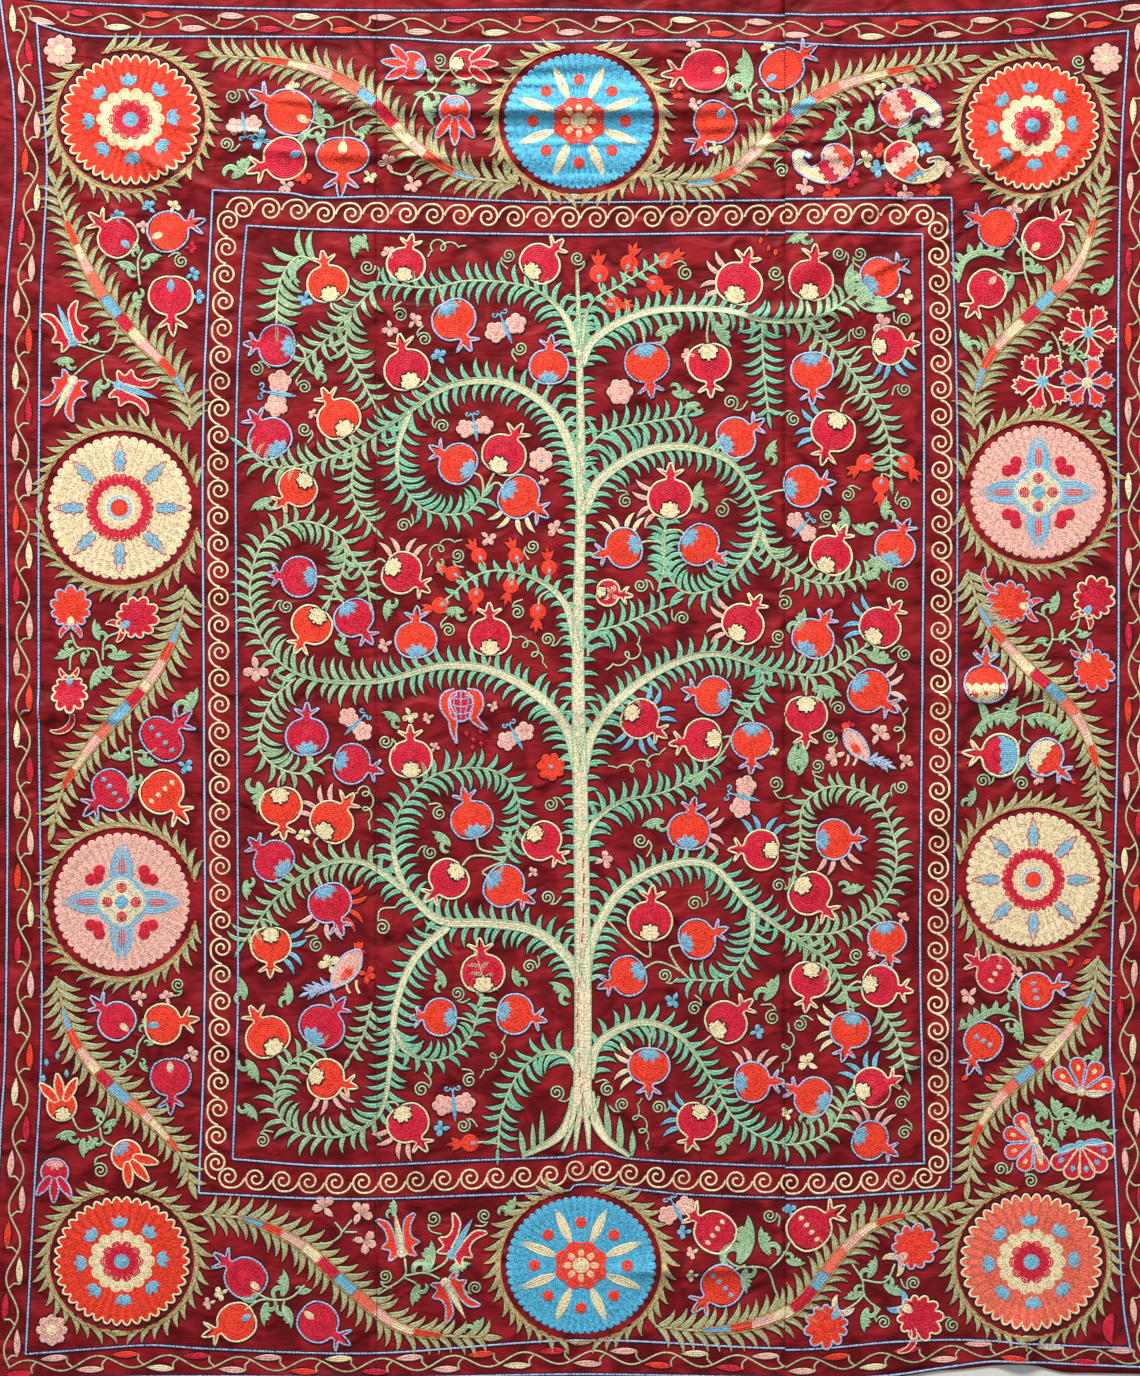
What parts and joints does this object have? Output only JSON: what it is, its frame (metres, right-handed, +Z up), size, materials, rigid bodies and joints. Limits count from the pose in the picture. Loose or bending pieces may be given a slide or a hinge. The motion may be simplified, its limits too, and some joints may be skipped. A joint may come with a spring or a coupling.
{
  "type": "suzani embroidered textile",
  "caption": "Large rectangular silk suzani, embroidered all over with a pomegranate tree, rosettes and leafy vines inside scrolled borders, laid out flat.",
  "frame": {"origin": "centre of the cloth's outline, on the surface it lies on", "axes": "+Z up out of the embroidered face, +Y to the top edge of the design, +X to its right"},
  "size_m": [1.457, 1.7, 0.0085],
  "materials": {
    "embroidered_silk": "burgundy silk with silk chain stitch"
  },
  "bodies": {
    "root": {"panel_left": "embroidered_silk", "panel_middle": "embroidered_silk", "panel_right": "embroidered_silk"}
  },
  "joints": []
}
